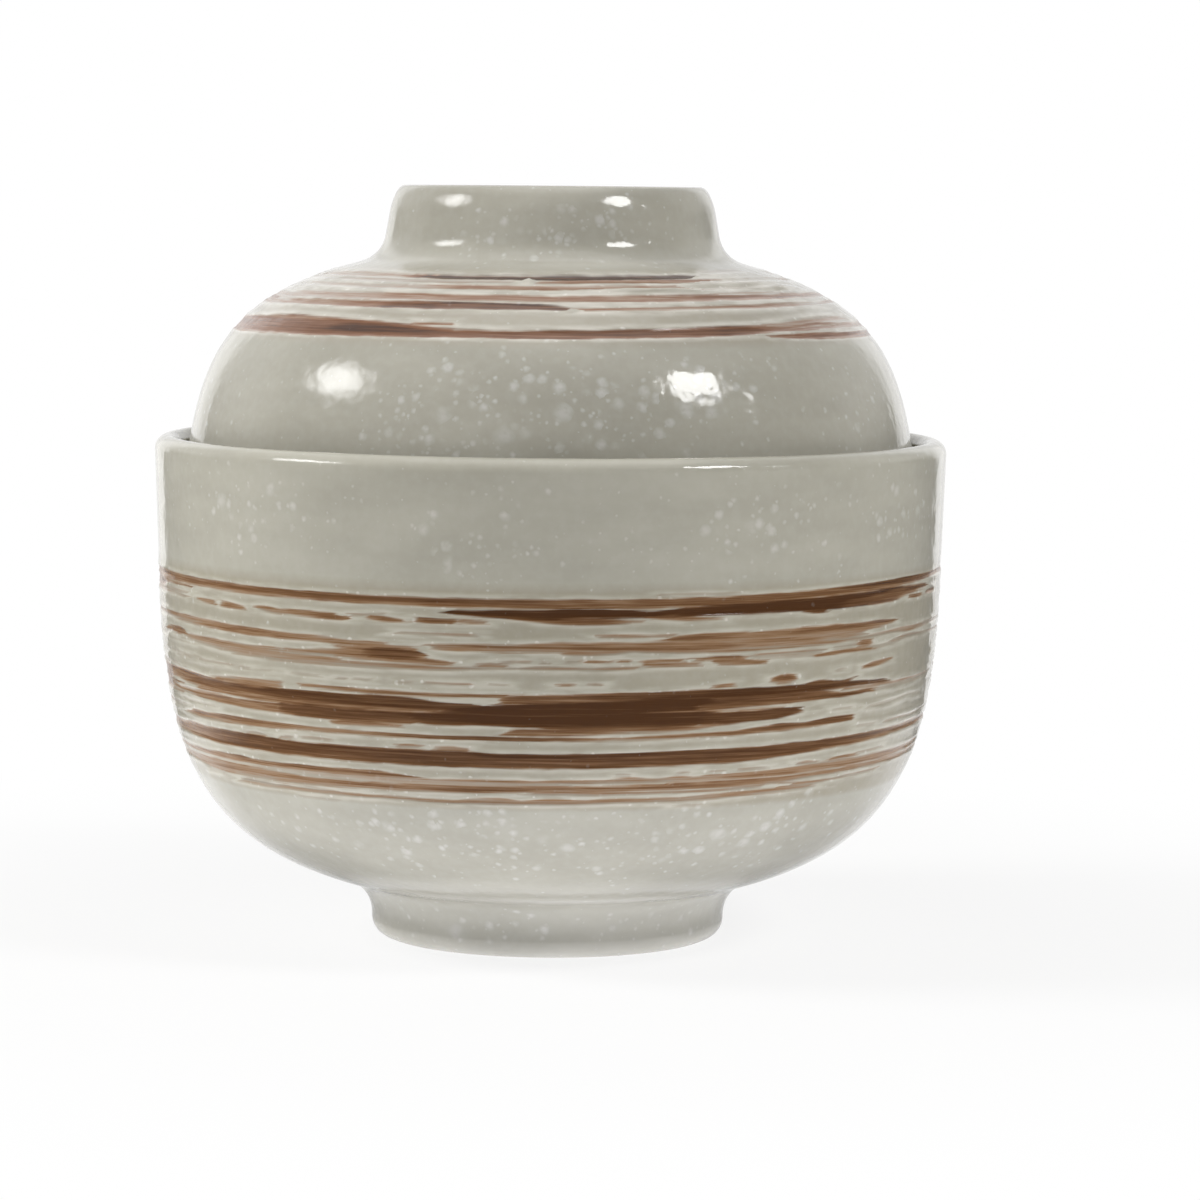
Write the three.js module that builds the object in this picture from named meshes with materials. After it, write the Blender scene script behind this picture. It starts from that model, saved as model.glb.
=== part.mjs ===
import * as THREE from 'three';

// Stoneware soup bowl with a lid that drops inside the rim. Each is one piece of clay turned on a wheel.
// Sizes are in millimetres, +Z is up, and the origin is on the axis in the plane the foot stands on.

// Bowl, outside
const RIM_RADIUS = 50; // wall at the lip, the widest place
const RIM_HEIGHT = 63.5; // crest of the lip above the table
const WAIST_HEIGHT = 45.3; // where the wall ends and the belly starts to turn in
const WALL_DRAFT = 0.6; // how much narrower the wall is at the waist than at the lip
const FOOT_HEIGHT = 7.45; // springing of the belly, at the top of the foot
const FOOT_RADIUS = 22.4;
const FOOT_FILLET = 5.1; // hollow sweep from the foot out to the belly
const FOOT_OUTER_EDGE = 2.2; // roundings beside the flat that touches the table
const FOOT_INNER_EDGE = 0.8;
const FOOT_FLAT = 2.4; // width of that flat
const BELLY_SLOPE = 0.275; // rise of the belly as it leaves the foot, in radians

// Bowl, inside
const LIP_THICKNESS = 2.5; // clay beside the lid, rounded right over at the crest
const LEDGE_DEPTH = 5.5; // seat of the lid below the crest
const LEDGE_WIDTH = 3.6; // step between the lip and the well
const LEDGE_EDGE = 0.8; // rounding from the ledge into the well
const FLOOR_RISE = 3.05; // well's floor above the springing of the belly
const BASE_THICKNESS = 5.5; // clay between the well's floor and the hollow under the foot
const HOLLOW_FILLET = 1.5; // corner inside the hollow under the foot

// Lid
const LID_CLEARANCE = 1.3; // all round, between the lid and the lip
const LID_HEIGHT = 37; // from the seat to the top of the grip ring
const LID_WALL = 4; // at the edge that rests on the ledge
const LID_EDGE = 0.8;
const LID_LEAN = 0.115; // lean of the dome's side at the edge, in radians
const DOME_SLOPE = 0.282; // fall of the dome as it leaves the grip ring, in radians
const CROWN_THICKNESS = 4.6; // clay under the floor of the grip ring's hollow
const RING_RADIUS = 20.2; // grip ring at its top
const RING_RISE = 9.3; // top of the grip ring above the dome
const RING_FLARE = 1.2; // how much wider the grip ring is at its root
const RING_WALL = 3.4; // at the top
const RING_OUTER_EDGE = 1.2; // roundings beside the flat top
const RING_INNER_EDGE = 0.8;
const RING_FILLET = 2.5; // hollow where the ring meets the dome
const CUP_DEPTH = 7; // hollow inside the grip ring
const CUP_TAPER = 0.8; // how much narrower that hollow is at its floor
const CUP_FILLET = 2;

// How long each curve follows its end tangents, as a ratio to the reach or rise that it spans
const BELLY_FOOT_RATIO = 0.79;
const BELLY_WAIST_RATIO = 0.604;
const WELL_FLOOR_RATIO = 0.76;
const WELL_WAIST_RATIO = 0.87;
const DOME_RING_RATIO = 0.736;
const DOME_EDGE_RATIO = 0.635;
const UNDERSIDE_CROWN_RATIO = 0.91;
const UNDERSIDE_EDGE_RATIO = 0.585;

// Facets
const TURN_FACETS = 56;
const CURVE_STEPS = 12;
const EDGE_STEPS = 3;

// Sizes that the two pieces share
const LEDGE_HEIGHT = RIM_HEIGHT - LEDGE_DEPTH;
const LIP_INNER_RADIUS = RIM_RADIUS - LIP_THICKNESS;
const LID_RADIUS = LIP_INNER_RADIUS - LID_CLEARANCE;

const point = (radius, height) => new THREE.Vector2(radius, height);

// A point at a distance from a start, in a direction measured from the radius towards +Z.
function along(start, angle, distance) {
  return point(start.x + distance * Math.cos(angle), start.y + distance * Math.sin(angle));
}

function bend(start, startHandle, endHandle, end) {
  return new THREE.CubicBezierCurve(start, startHandle, endHandle, end).getPoints(CURVE_STEPS);
}

// A round of the given radius from one angle to the other, by the shorter way.
function round(centre, radius, from, to) {
  const curve = new THREE.EllipseCurve(centre.x, centre.y, radius, radius, from, to, to < from);
  return curve.getPoints(EDGE_STEPS);
}

// Turns an outline, given from the axis below to the axis above, into a solid about Z.
function turned(name, outline, material) {
  const geometry = new THREE.LatheGeometry(outline, TURN_FACETS);
  geometry.rotateX(Math.PI / 2);
  const mesh = new THREE.Mesh(geometry, material);
  mesh.name = name;
  return mesh;
}

function footOutline(hollowHeight) {
  const outerRound = point(FOOT_RADIUS - FOOT_OUTER_EDGE, FOOT_OUTER_EDGE);
  const innerRound = point(outerRound.x - FOOT_FLAT, FOOT_INNER_EDGE);
  const hollowRadius = innerRound.x - FOOT_INNER_EDGE;
  const corner = point(hollowRadius - HOLLOW_FILLET, hollowHeight - HOLLOW_FILLET);
  return [
    point(0, hollowHeight),
    ...round(corner, HOLLOW_FILLET, Math.PI / 2, 0),
    ...round(innerRound, FOOT_INNER_EDGE, Math.PI, 1.5 * Math.PI),
    ...round(outerRound, FOOT_OUTER_EDGE, -Math.PI / 2, 0),
  ];
}

function bellyOutline() {
  const fillet = point(FOOT_RADIUS + FOOT_FILLET, FOOT_HEIGHT - FOOT_FILLET * Math.cos(BELLY_SLOPE));
  const springing = along(fillet, Math.PI / 2 + BELLY_SLOPE, FOOT_FILLET);
  const waist = point(RIM_RADIUS - WALL_DRAFT, WAIST_HEIGHT);
  const lipStart = point(RIM_RADIUS, RIM_HEIGHT - LIP_THICKNESS / 2);
  const wallAngle = Math.atan2(lipStart.y - waist.y, lipStart.x - waist.x);
  const reach = waist.x - springing.x;
  const rise = waist.y - springing.y;
  return [
    ...round(fillet, FOOT_FILLET, Math.PI, Math.PI / 2 + BELLY_SLOPE),
    ...bend(
      springing,
      along(springing, BELLY_SLOPE, reach * BELLY_FOOT_RATIO),
      along(waist, wallAngle, -rise * BELLY_WAIST_RATIO),
      waist,
    ).slice(1),
  ];
}

function lipAndLedgeOutline(wellRadius) {
  const lip = point(RIM_RADIUS - LIP_THICKNESS / 2, RIM_HEIGHT - LIP_THICKNESS / 2);
  const edge = point(wellRadius + LEDGE_EDGE, LEDGE_HEIGHT - LEDGE_EDGE);
  return [
    ...round(lip, LIP_THICKNESS / 2, 0, Math.PI / 2),
    ...round(lip, LIP_THICKNESS / 2, Math.PI / 2, Math.PI).slice(1),
    point(LIP_INNER_RADIUS, LEDGE_HEIGHT),
    ...round(edge, LEDGE_EDGE, Math.PI / 2, Math.PI),
  ];
}

function wellOutline(wellRadius, floorHeight) {
  const waist = point(wellRadius, WAIST_HEIGHT);
  const centre = point(0, floorHeight);
  const rise = WAIST_HEIGHT - floorHeight;
  return bend(
    waist,
    along(waist, -Math.PI / 2, rise * WELL_WAIST_RATIO),
    along(centre, 0, wellRadius * WELL_FLOOR_RATIO),
    centre,
  );
}

function bowl(material) {
  const wellRadius = LIP_INNER_RADIUS - LEDGE_WIDTH;
  const floorHeight = FOOT_HEIGHT + FLOOR_RISE;
  const outline = [
    ...footOutline(floorHeight - BASE_THICKNESS),
    ...bellyOutline(),
    ...lipAndLedgeOutline(wellRadius),
    ...wellOutline(wellRadius, floorHeight),
  ];
  return turned('bowl', outline, material);
}

function lidUndersideOutline(crownHeight) {
  const crown = point(0, crownHeight);
  const edge = point(LID_RADIUS - LID_WALL, LEDGE_HEIGHT);
  const rise = crownHeight - LEDGE_HEIGHT;
  return bend(
    crown,
    along(crown, 0, edge.x * UNDERSIDE_CROWN_RATIO),
    along(edge, Math.PI / 2 + LID_LEAN, rise * UNDERSIDE_EDGE_RATIO),
    edge,
  );
}

function domeOutline(topHeight) {
  const edgeRound = point(LID_RADIUS - LID_EDGE, LEDGE_HEIGHT + LID_EDGE);
  const edge = point(LID_RADIUS, LEDGE_HEIGHT + LID_EDGE);
  const rootRadius = RING_RADIUS + RING_FLARE;
  const rootHeight = topHeight - RING_RISE;
  const fillet = point(rootRadius + RING_FILLET, rootHeight + RING_FILLET * Math.cos(DOME_SLOPE));
  const shoulder = along(fillet, 1.5 * Math.PI - DOME_SLOPE, RING_FILLET);
  const reach = edge.x - shoulder.x;
  const rise = shoulder.y - edge.y;
  return [
    ...round(edgeRound, LID_EDGE, -Math.PI / 2, 0),
    ...bend(
      edge,
      along(edge, Math.PI / 2 + LID_LEAN, rise * DOME_EDGE_RATIO),
      along(shoulder, -DOME_SLOPE, reach * DOME_RING_RATIO),
      shoulder,
    ).slice(1),
    ...round(fillet, RING_FILLET, 1.5 * Math.PI - DOME_SLOPE, Math.PI).slice(1),
  ];
}

function gripRingOutline(topHeight) {
  const outerRound = point(RING_RADIUS - RING_OUTER_EDGE, topHeight - RING_OUTER_EDGE);
  const cupRadius = RING_RADIUS - RING_WALL;
  const innerRound = point(cupRadius + RING_INNER_EDGE, topHeight - RING_INNER_EDGE);
  const cupFloor = topHeight - CUP_DEPTH;
  const corner = point(cupRadius - CUP_TAPER - CUP_FILLET, cupFloor + CUP_FILLET);
  return [
    ...round(outerRound, RING_OUTER_EDGE, 0, Math.PI / 2),
    ...round(innerRound, RING_INNER_EDGE, Math.PI / 2, Math.PI),
    ...round(corner, CUP_FILLET, 0, -Math.PI / 2),
    point(0, cupFloor),
  ];
}

function lid(material) {
  const topHeight = LEDGE_HEIGHT + LID_HEIGHT;
  const outline = [
    ...lidUndersideOutline(topHeight - CUP_DEPTH - CROWN_THICKNESS),
    ...domeOutline(topHeight),
    ...gripRingOutline(topHeight),
  ];
  return turned('lid', outline, material);
}

const glaze = new THREE.MeshStandardMaterial({ color: 0xb5b1a6, roughness: 0.15, metalness: 0 });

const soupBowl = new THREE.Group();
soupBowl.add(bowl(glaze));
soupBowl.add(lid(glaze.clone()));

export default soupBowl;
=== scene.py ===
from functools import partialmethod
from math import atan2, cos, pi, radians, sin, tan

import bpy
import numpy as np
from mathutils import Matrix, Vector


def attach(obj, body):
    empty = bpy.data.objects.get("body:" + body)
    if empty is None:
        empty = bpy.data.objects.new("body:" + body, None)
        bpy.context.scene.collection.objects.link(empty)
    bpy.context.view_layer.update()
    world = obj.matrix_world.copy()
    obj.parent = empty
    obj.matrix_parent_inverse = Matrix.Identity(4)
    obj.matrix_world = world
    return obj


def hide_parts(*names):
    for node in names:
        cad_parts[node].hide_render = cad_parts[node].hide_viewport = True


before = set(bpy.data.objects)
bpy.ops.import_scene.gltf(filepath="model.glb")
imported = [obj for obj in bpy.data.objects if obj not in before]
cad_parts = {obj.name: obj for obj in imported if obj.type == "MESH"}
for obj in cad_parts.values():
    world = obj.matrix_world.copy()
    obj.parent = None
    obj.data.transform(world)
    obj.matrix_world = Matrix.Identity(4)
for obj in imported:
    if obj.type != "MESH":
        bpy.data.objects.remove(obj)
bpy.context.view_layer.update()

# Glazed stoneware soup bowl with a lid. Sizes of the pieces are in millimetres, and Blender gets metres.
# Leans, slopes and the angles of curves are in radians, and places round the axis in degrees.
MM = 0.001
SEED = 1847

# Bowl, the same sizes as the CAD solid
RIM_RADIUS = 50.0
RIM_HEIGHT = 63.5
WAIST_HEIGHT = 45.3
WALL_DRAFT = 0.6
FOOT_HEIGHT = 7.45
FOOT_RADIUS = 22.4
FOOT_FILLET = 5.1
FOOT_OUTER_EDGE = 2.2
FOOT_INNER_EDGE = 0.8
FOOT_FLAT = 2.4
BELLY_SLOPE = 0.275
LIP_THICKNESS = 2.5
LEDGE_DEPTH = 5.5
LEDGE_WIDTH = 3.6
LEDGE_EDGE = 0.8
FLOOR_RISE = 3.05
BASE_THICKNESS = 5.5
HOLLOW_FILLET = 1.5

# Lid, the same sizes as the CAD solid
LID_CLEARANCE = 1.3
LID_HEIGHT = 37.0
LID_WALL = 4.0
LID_EDGE = 0.8
LID_LEAN = 0.115
DOME_SLOPE = 0.282
CROWN_THICKNESS = 4.6
RING_RADIUS = 20.2
RING_RISE = 9.3
RING_FLARE = 1.2
RING_WALL = 3.4
RING_OUTER_EDGE = 1.2
RING_INNER_EDGE = 0.8
RING_FILLET = 2.5
CUP_DEPTH = 7.0
CUP_TAPER = 0.8
CUP_FILLET = 2.0

# How far the curves' handles reach, as shares of the way between their ends
BELLY_FOOT_RATIO = 0.79
BELLY_WAIST_RATIO = 0.604
WELL_FLOOR_RATIO = 0.76
WELL_WAIST_RATIO = 0.87
DOME_RING_RATIO = 0.736
DOME_EDGE_RATIO = 0.635
UNDERSIDE_CROWN_RATIO = 0.91
UNDERSIDE_EDGE_RATIO = 0.585

# Sizes that the two pieces share
LEDGE_HEIGHT = RIM_HEIGHT - LEDGE_DEPTH
LIP_INNER_RADIUS = RIM_RADIUS - LIP_THICKNESS
LID_RADIUS = LIP_INNER_RADIUS - LID_CLEARANCE

# Edges that the wheel and the glaze leave softer than the CAD rounds
LIP_OUTER_ROUND = 1.7
LIP_INNER_ROUND = 1.3
LIP_BULGE = 0.5
RING_LEAN = 0.172
RING_ROOT_ROUND = 4.2
RING_SHOULDER = 3.4
RING_TURN_IN = 1.5
RING_SIDE_HANDLE = 1.9
RING_TOP_HANDLE = 0.7

# Meshes: columns round the axis, and the steps between rows
COLUMNS = 400
BOWL_FINE_STEP = 0.21
LID_FINE_STEP = 0.18
PLAIN_STEP = 1.3
FLOOR_STEP = 3.0
WELL_STEP = 3.4
UNDERSIDE_STEP = 3.2
ROUNDING_STEP = 0.4

# Rings of bare clay: how level a face is, and how far the clay shows past the foot's flat
LEVEL_MARGIN = 0.12
BARE_MARGIN = 0.5

# Relief of the brushed bands, and the cells of its unevenness round a turn and in a millimetre
BOWL_BAND = (21.3, 48.6)
LID_BAND = (76.0, 85.2)
BAND_FADE = 0.8
GROOVE_DEPTH = 0.1
RIDGE_HEIGHT = 0.1
LUMP_HEIGHT = 0.03
LUMP_CELLS = (150, 1.1)
BEAD_HEIGHT = 0.03
BEAD_CELLS = (260, 2.2)
RIPPLE_DEPTH = 0.04
RIPPLE_CELLS = (46, 0.12)
DROP_HEIGHT = 0.35
DROP_SQUASH = 2.2

# Height at the foot and rows at the top of the grip ring that the relief leaves even
FOOT_EVEN = 1.0
RING_EVEN_ROWS = 4

# Ends of a stroke, where the bristles leave the clay one after another, and its darker upper side
BRISTLE_STEP = 0.28
LONGEST_BRISTLE = 4.0
TOP_DARKER = 0.06
FAR_OUTSIDE = -2.0

# The strokes are thinner and lighter round this angle
THIN_ANGLE = -75.0
THIN_REACH = 38.0
THIN_LIGHTER = 0.14

# Brushed strokes. Each has a tone, faint below 0.3 and dark from 0.8 up, and then knots of
# three: an angle round the axis, where 0 is the front and 90 the right, and the bottom and top edge there.
BOWL_STROKES = [
    (0.26, 18,24.5,25.3, 40,24.8,25.7, 60,25.1,26.1, 75,25.6,26.4),
    (0.26, -85,24.3,25.2, -60,24.4,25.4, -40,24.2,25.3, -20,24.2,25.2, 4,24.4,25.1),
    (0.66, -95,46.3,46.9, -75,46.4,47.2, -60,46.3,47.15, -40,46.1,47, -15,46.05,46.97, 15,46.05,47.05,
     25,46.2,47.15, 45,46.6,47.55, 62,47.05,47.95, 75,47.45,48, 100,47.3,47.8),
    (0.85, 38,47.1,47.4, 50,47.3,47.7, 62,47.5,47.95, 70,47.7,47.95),
    (0.2, 14,47.5,47.6, 20,47.42,47.6, 28,47.4,47.5),
    (0.7, -6,44.8,45, 0,44.3,44.9, 4,44.15,44.95, 8,44.2,44.75, 12,44.4,44.5),
    (0.66, 13,44.9,45.1, 17,44.6,45.1, 20,44.4,44.9, 25,44.5,44.6),
    (0.8, 38,44.9,45.1, 40,44.7,45.1, 42,44.7,44.85),
    (1, -15,45.4,45.55, -11,45,45.65, -6,44.85,45.7, 0,44.6,45.8, 5,44.9,45.9, 10,45,45.8, 14,45,45.6,
     17,45.1,45.8, 20,45.1,46.1, 26,45.05,46.3, 32,45.05,46.4, 40,45.05,46.5, 50,45.15,46.7, 55,45.4,46.8,
     59,45.8,46.85, 63,46.2,46.9),
    (0.66, 42,45.1,45.9, 50,45.1,46.1, 57,45.2,46.35, 62,45.7,46.4, 68,46.1,46.5),
    (0.68, 55,46.2,46.6, 62,46.1,46.75, 70,46.3,46.6),
    (0.5, 63,45.35,45.5, 66,45.2,45.55, 68,45.3,45.5),
    (0.55, 70,45.4,45.6, 72,45.3,45.75, 75,45.4,45.6),
    (0.4, -95,44.6,44.9, -80,44.95,45.15, -72,44.75,44.95, -66,44.55,44.85, -63,44.5,44.6),
    (0.6, -60.5,44.6,44.8, -58,44.35,44.85, -54.5,44.2,44.75),
    (0.62, -54,44.2,44.85, -51,44.1,44.8, -47.5,44.1,44.4),
    (0.6, -45.5,44.5,44.75, -43,44.1,44.8, -40,44,44.5, -39,44.15,44.7, -35,44,44.65, -30.5,43.95,44.6,
     -28.7,44,44.3),
    (0.3, -28.5,44.5,44.65, -26,44.55,44.72, -23.5,44.75,44.95),
    (0.6, -26,44.3,44.6, -24,44.05,44.6, -20.5,44.05,44.25),
    (0.6, -18.8,44.2,44.6, -16,44.05,44.55, -13,44.1,44.5),
    (0.5, -12.3,44.3,44.5, -11,44.15,44.5, -8.7,44.2,44.35),
    (0.3, -22,42.62,42.75, -18,42.62,42.82, -10,42.6,42.72),
    (0.4, 6,42.6,42.75, 9,42.6,42.85, 14,42.65,42.8, 18,42.7,42.9),
    (0.54, -95,41.5,42, -78,41.8,42.2, -65,41.5,42.3, -55,41.4,42.2, -50,41.2,42, -40,41.1,41.85,
     -35,41.15,41.8, -30,41,41.55, -22,41.2,41.4),
    (0.43, -66,39.4,40.2, -60,39.2,40.1, -55,38.95,40.1, -50,38.7,39.9, -41,38.5,39.9),
    (0.42, -50,38.6,39.85, -42,38.5,39.75, -36,38.5,39.5, -30,38.6,39.2),
    (0.68, -76,40,40.2, -70,39.7,40.6, -68,39.65,40.7, -66,39.8,40.5, -64.5,39.9,40.2),
    (0.4, -41,39.4,40, -36,39.5,40, -31,39.6,40.15),
    (0.58, -32,39.6,40.2, -28,39.5,40.2, -25,39.3,40.2),
    (0.38, -42,38.5,39, -30,38.4,39, -20,38.4,38.95, -14,38.4,38.9, -10,38.7,38.95, -5,38.75,38.95,
     0,38.8,39.2, 5,38.8,39, 10,38.8,39.15, 13,38.95,39.1),
    (0.5, -36,39.7,40.1, -31,39.6,40.4, -27,39.4,40.8, -22,39.3,41, -18,39.6,40.9),
    (0.46, -31,40.75,40.9, -27.5,40.8,41.05, -22,40.7,41.15, -18,40.6,41.1),
    (0.56, -24,39.3,39.9, -18,39.2,39.8, -15,39.1,39.6, -13,38.95,39.4),
    (0.76, -28,40,40.4, -25,39.6,40.85, -22,39.45,40.9, -19.5,39.6,40.7, -17,39.9,40.3),
    (0.36, 20,40.8,42.6, 30,40.9,42.75, 38,41,42.7, 46,41.2,42.6, 53,41.6,42.5),
    (0.5, -18.5,41.1,41.3, -15,40.9,41.5, -5,40.8,41.7, 0,40.85,41.9, 3,40.8,42, 13,40.8,42, 16,40.6,42.2,
     18,40.6,42.7, 22,40.6,42.9, 30,40.6,42.9),
    (0.42, 2,40.6,40.9, 5,40.5,40.9, 9,40.6,40.85),
    (0.42, 25,41.4,42.4, 33,41.4,41.95, 38,41.3,41.7, 44,41.2,41.4),
    (0.54, 26,41.8,42.8, 33,42,42.85, 36,42.05,43, 45,42.2,43.05, 50,42.1,42.9, 55,42.3,43, 59,42.6,42.75),
    (0.4, 25,40.6,41.5, 32,40.7,41.3, 40,40.75,41.3, 46,41,41.25, 52,41.1,41.35, 58,41.3,41.65,
     63,41.2,41.7, 70,41.5,41.75, 85,41.6,41.8),
    (0.42, -9.5,39,39.3, -8,38.95,39.6, -5.5,39,39.2),
    (0.42, -6.5,39.5,39.7, -5,39.55,39.8),
    (0.5, -4.3,39.6,39.78, -2.8,39.55,39.7),
    (0.35, -1,39.5,39.7, 0,39.5,39.62),
    (0.3, 2.5,39.6,39.8, 3.6,39.6,39.8),
    (0.55, 4.6,39.65,39.9, 6,39.6,39.85, 8.5,39.6,39.75),
    (0.55, 9.5,39.65,39.85, 11,39.6,39.85),
    (0.58, 13,39.2,39.8, 15,39.5,39.95, 19,39.55,39.85),
    (0.52, 13,39.1,39.4, 16,39.05,39.5, 21,39.1,39.4),
    (0.6, 20,39.7,39.9, 23,39.75,40.05, 27.5,39.5,40.05, 28.5,39.6,39.8),
    (0.55, 23.5,39.2,39.6, 27,39.1,39.7, 31,39.1,39.3),
    (0.36, 28,39.9,40.1, 34,40,40.2, 40,40,40.3, 43,40.05,40.15),
    (0.2, 30,39.55,39.7, 40,39.5,39.75),
    (0.55, 40,39.4,39.6, 44,39.45,39.9, 49,39.6,40, 52.5,39.7,40.1),
    (0.3, 44,40.2,40.35, 49,40.3,40.5),
    (0.5, 49,40.1,40.5, 50.5,39.9,40.9, 52.3,39.9,40.8),
    (0.25, 53,39.7,40, 58,39.9,40.2, 60,40.1,40.4),
    (0.36, 59,40.3,40.5, 61,40.35,40.8, 65,40.4,40.8, 70,40.4,40.6, 85,40.3,40.45),
    (0.3, -90,36.8,37, -78,36.9,37.2, -75,37.2,37.35),
    (0.32, -70,37.05,37.22, -63.5,37.1,37.22),
    (0.32, -61,37.1,37.24, -56,37.05,37.18, -51,37,37.12),
    (0.32, -49.5,36.95,37.1, -47.5,36.95,37.1),
    (0.2, -45,36.98,37.12, -43,36.95,37.08),
    (0.22, -39.5,36.95,37.1, -33.5,36.88,37.02),
    (0.3, -31,36.82,36.96, -29.5,36.8,36.96),
    (0.25, -28,36.88,37.02, -25.7,36.84,36.98),
    (0.2, -21,36.8,36.92, -19.5,36.75,36.9),
    (0.28, -17,36.8,36.96, -14,36.75,36.88, -11,36.8,36.92),
    (0.2, -8,36.9,37.02, -5.8,36.75,36.9),
    (0.5, 1.3,36.9,37, 2.2,36.85,37.15, 3.2,36.9,37.05),
    (0.4, 5.5,37,37.18, 7,36.9,37.05),
    (0.5, 23.5,36.42,36.55, 25,36.45,36.75, 26.6,36.5,36.8),
    (0.5, 32.7,36.8,37, 33.7,36.5,37.4, 35.5,36.4,37.55, 37,36.7,37.3),
    (0.2, 45,37.4,37.6, 46.3,37.5,37.7),
    (0.48, 50.5,37.4,37.55, 53,37.45,38, 55,37.6,38.1, 58,38,38.2),
    (0.48, -58,35.1,35.3, -54,35,35.6, -48,34.8,35.8, -43,34.8,35.9, -40,35,36, -38.5,35.3,35.85),
    (0.55, -39,35.6,35.85, -33,35.5,35.8, -30,35.4,35.8, -22,35.35,35.75, -15,35.35,35.6, -8,35.4,35.7,
     -4,35.4,35.75),
    (0.6, -62,33.5,33.8, -50,33.4,33.9, -42,33.3,33.9, -35,33.1,33.9, -25,33.2,33.9, -16,33.3,33.9),
    (0.62, -95,34.2,34.8, -80,34.6,35.2, -72,34.3,35.4, -67,33.95,35.5, -58,33.75,35.1, -48,33.8,34.9,
     -40,33.8,34.95),
    (0.84, -70,34.4,35.2, -64,34,35.1, -58,33.9,35, -48,33.9,34.85, -40,33.8,34.95, -30,33.7,35.1,
     -22,33.7,35.1, -19,33.65,34.9, -15,33.6,34.6, -8,33.6,34.5),
    (0.62, -80,33.2,33.4, -70,32.7,33.1, -60,32.5,33.3, -50,32.1,33, -40,32,33.1),
    (0.55, -32,31.4,32, -27,31.3,31.9, -24,31.35,32, -20,31.4,31.7),
    (0.8, -42,32,33.2, -36,31.9,33.3, -28,31.7,33.3, -22,31.9,33.3, -18,31.9,33.4),
    (0.95, -21,32.2,33.2, -16,31.9,33.5, -12,31.95,33.8, -8,32,34),
    (0.6, -8,31,31.4, -5,30.9,31.5, 2,31,31.7, 10,31.2,31.7, 20,31.3,31.8, 26,31.9,32),
    (0.62, -10,34.75,34.9, -7,34.7,35.4, -3,34.6,35.7, 4,34.8,35.8, 10,35,36, 15,35,36),
    (0.84, 2,34.9,35.5, 8,34.9,35.85, 15,35,36, 20,35.2,36.2, 26,35,36.15),
    (1, -16,32.3,33.6, -11,32,34.05, -7,32,34.4, -3,31.85,34.7, 2,31.6,34.85, 10,31.6,35.1, 15,31.6,35.4,
     20,31.7,35.5, 24,32,35.5),
    (0.76, 20,33.8,35.1, 30,33.9,35.1, 36,34,35.2, 42,34.2,35.2, 47,34.2,34.7, 52,34.4,34.8, 57,34.5,34.7),
    (0.97, 20,35,36.15, 30,35.1,36.1, 38,35.2,36.05, 44,35.3,36, 49,35.35,35.95, 55,35.4,35.75,
     60,35.45,35.6),
    (0.85, 38.5,36,36.1, 40,36,36.4, 42,36,36.55, 44,36,36.3, 46,36,36.15, 48,36,36.3, 49.8,36.25,36.5),
    (0.4, 44,34.8,35.2, 50,34.95,35.15, 60,35,35.2, 74,35,35.15),
    (0.25, 52,34.3,34.6, 60,34.5,34.9, 68,34.6,34.95, 78,35.1,35.4),
    (0.88, 20,31.75,33.4, 25,31.95,33.35, 30,32.1,33.3, 35,32.3,33.4, 38,32.7,33.4, 40.3,33.1,33.25),
    (0.42, 10,33.6,33.75, 18,33.5,33.8, 26,33.4,33.6, 34,33.45,33.6),
    (0.18, 45,32.6,32.75, 49,32.6,32.8),
    (0.17, 53,32.3,32.6, 58,32.4,32.9, 66,33,33.2, 74,32.6,33),
    (0.22, -70,31.5,31.9, -66,31.5,31.7, -60,31.5,31.75, -56.5,31.55,31.7),
    (0.62, -69,30,30.3, -66,29.9,30.55, -60,29.8,30.6, -55,29.85,30.75, -45,30.05,30.7, -40,30.2,30.7,
     -30,30.2,30.65, -20,30.25,30.65, -12,30.3,30.6, 0,30.33,30.6, 10,30.35,30.62, 16,30.4,30.8,
     22,30.5,30.95, 28,30.6,31.05, 34,30.75,31.5, 40,30.85,31.4, 44,31,31.7, 47,31.15,31.85, 50,31.2,31.75,
     52,31.35,31.5),
    (0.2, -95,30,30.4, -80,30.2,30.5, -70,30.6,30.8),
    (0.15, 51.5,30.2,30.4, 56,30,30.3),
    (0.28, 58.5,30.1,30.3, 63,30.2,30.5, 68,30.2,30.45, 82,30.6,30.8),
    (0.38, -50,28.8,29.1, -47.5,28.8,29.35, -45.3,28.8,29),
    (0.35, -42.5,28.7,29.1, -41,28.8,29.3, -40,29.1,29.22),
    (0.33, -38.5,29.1,29.3, -36,29.15,29.4, -32.8,29.2,29.35),
    (0.36, -22,29,29.2, -20.5,29.1,29.4, -18.5,29.1,29.25),
    (0.42, -16,28.9,29.2, -14,28.9,29.35, -11.5,28.8,29.1),
    (0.62, -95,27.6,28.5, -74,27.4,28.6, -68,27.2,28.8, -55,27,28.75, -48,27,28.8),
    (0.56, 36,27.7,28.9, 46,28,29.1, 52,28.2,29.2, 58,28.4,29.35, 65,28.65,29.45, 78,28.9,29.5,
     100,28.6,29.2),
    (0.79, -72,27.5,28.6, -66,27.2,28.75, -55,27,28.75, -48,27,28.8, -42,26.95,28.65, -27,26.95,28.75,
     -20,26.95,28.8, -11,26.9,28.7, -8,26.9,28.5, 4,26.95,28.6, 10,27,28.65, 22,27.15,28.9, 28,27.2,28.9,
     34,27.45,28.95, 40,27.7,29.05, 46,28,29.05, 52,28.35,29, 60,28.7,29.1),
    (0.97, -10,28.2,28.5, -5,28.05,28.55, 5,28.05,28.55, 12,28.15,28.6, 20,28.4,28.7),
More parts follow.
